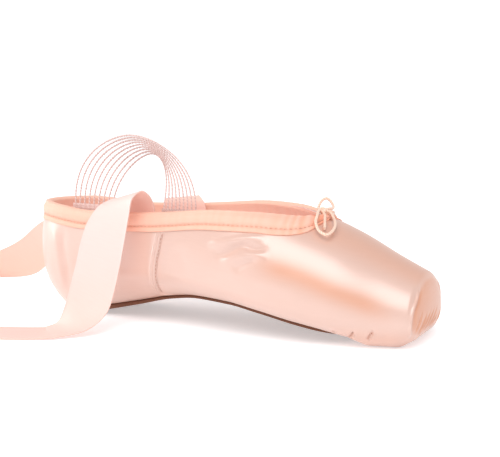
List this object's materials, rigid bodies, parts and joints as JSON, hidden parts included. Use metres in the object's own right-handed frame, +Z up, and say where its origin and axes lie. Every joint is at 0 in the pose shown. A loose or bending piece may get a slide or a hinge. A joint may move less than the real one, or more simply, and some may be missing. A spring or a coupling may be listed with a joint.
{
  "type": "pointe shoe",
  "caption": "Satin pointe shoe with a stiff flat toe platform, a leather sole, a drawstring bow, ankle ribbons and an elastic loop, standing empty.",
  "frame": {"origin": "on the floor under the middle of the heel's flat spot", "axes": "+X from the heel to the toe, +Y to the side away from the elastic loop, +Z up from the floor"},
  "size_m": [0.5652, 0.1703, 0.0991],
  "materials": {
    "satin": "satin",
    "leather": "matte",
    "sock": "matte",
    "binding": "satin",
    "ribbon": "satin",
    "elastic": "matte",
    "drawstring": "matte"
  },
  "bodies": {
    "root": {"upper": "satin", "outsole": "leather", "insole": "sock", "drawstring_casing": "binding", "ribbon_near": "ribbon", "ribbon_far": "ribbon", "elastic_loop": "elastic", "bow_knot": "drawstring", "bow_loop_near": "drawstring", "bow_loop_far": "drawstring", "bow_end_near": "drawstring", "bow_end_far": "drawstring"}
  },
  "joints": []
}
